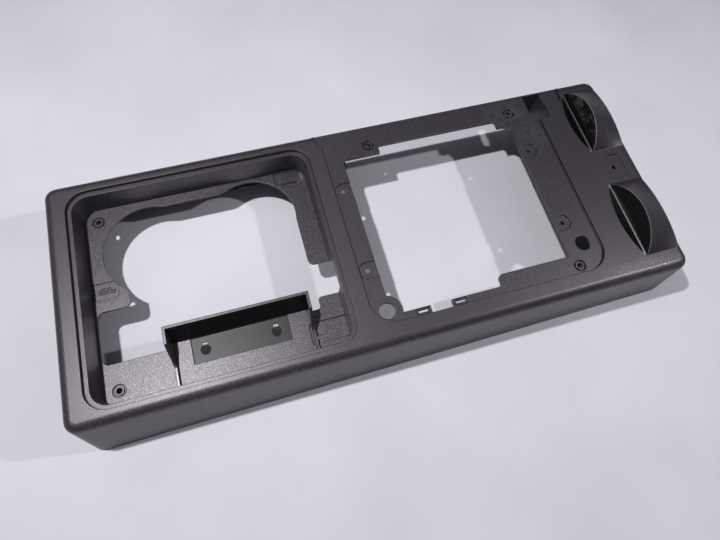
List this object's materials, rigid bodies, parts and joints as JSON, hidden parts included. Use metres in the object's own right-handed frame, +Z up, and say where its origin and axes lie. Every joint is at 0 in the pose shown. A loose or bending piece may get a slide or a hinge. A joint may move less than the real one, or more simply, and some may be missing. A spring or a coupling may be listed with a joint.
{
  "type": "center console trim panel",
  "caption": "Long car centre console trim panel with a sunken lid seat, a tray pocket, a framed shifter opening and arched hoods at one end.",
  "frame": {"origin": "middle of the footprint, at the foot of the skirts", "axes": "+X along the panel towards its hoods, +Y to the far side that carries the skirt cutaway, +Z up"},
  "size_m": [0.575, 0.2348, 0.0866],
  "materials": {
    "painted_plastic": "fine textured dark bronze grey paint on black moulded plastic, bare on the hoods and below"
  },
  "bodies": {
    "root": {"console_panel": "painted_plastic"}
  },
  "joints": []
}
